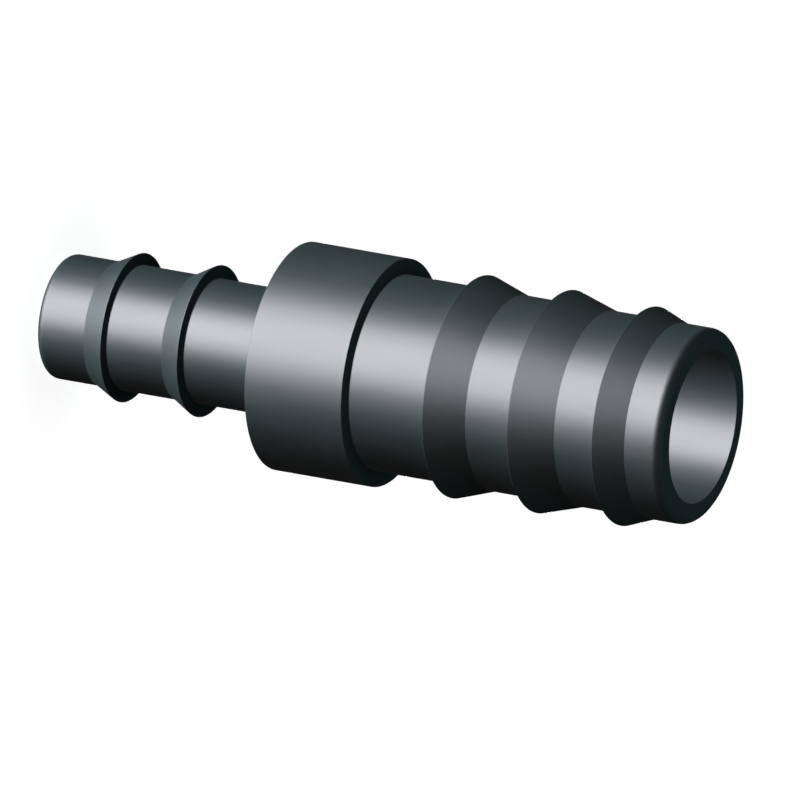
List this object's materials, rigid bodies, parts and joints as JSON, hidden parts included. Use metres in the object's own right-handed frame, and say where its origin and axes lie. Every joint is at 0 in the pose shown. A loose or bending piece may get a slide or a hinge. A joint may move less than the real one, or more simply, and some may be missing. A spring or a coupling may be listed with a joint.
{
  "type": "hose barb reducer",
  "caption": "Straight moulded reducer that joins a large hose to a small one: a barbed spigot on each side of a plain collar, and a through bore that narrows inside the collar.",
  "frame": {"origin": "centre of the small end face, on the bore's axis, where the part stands", "axes": "+Z along the bore's axis, from the small end up to the large end; the part is round, so X and Y are any two directions square to it"},
  "size_m": [0.0242, 0.0242, 0.0743],
  "materials": {
    "moulded_plastic": "satin dark slate grey polypropylene, as moulded"
  },
  "bodies": {
    "root": {"hose_barb_reducer": "moulded_plastic"}
  },
  "joints": []
}
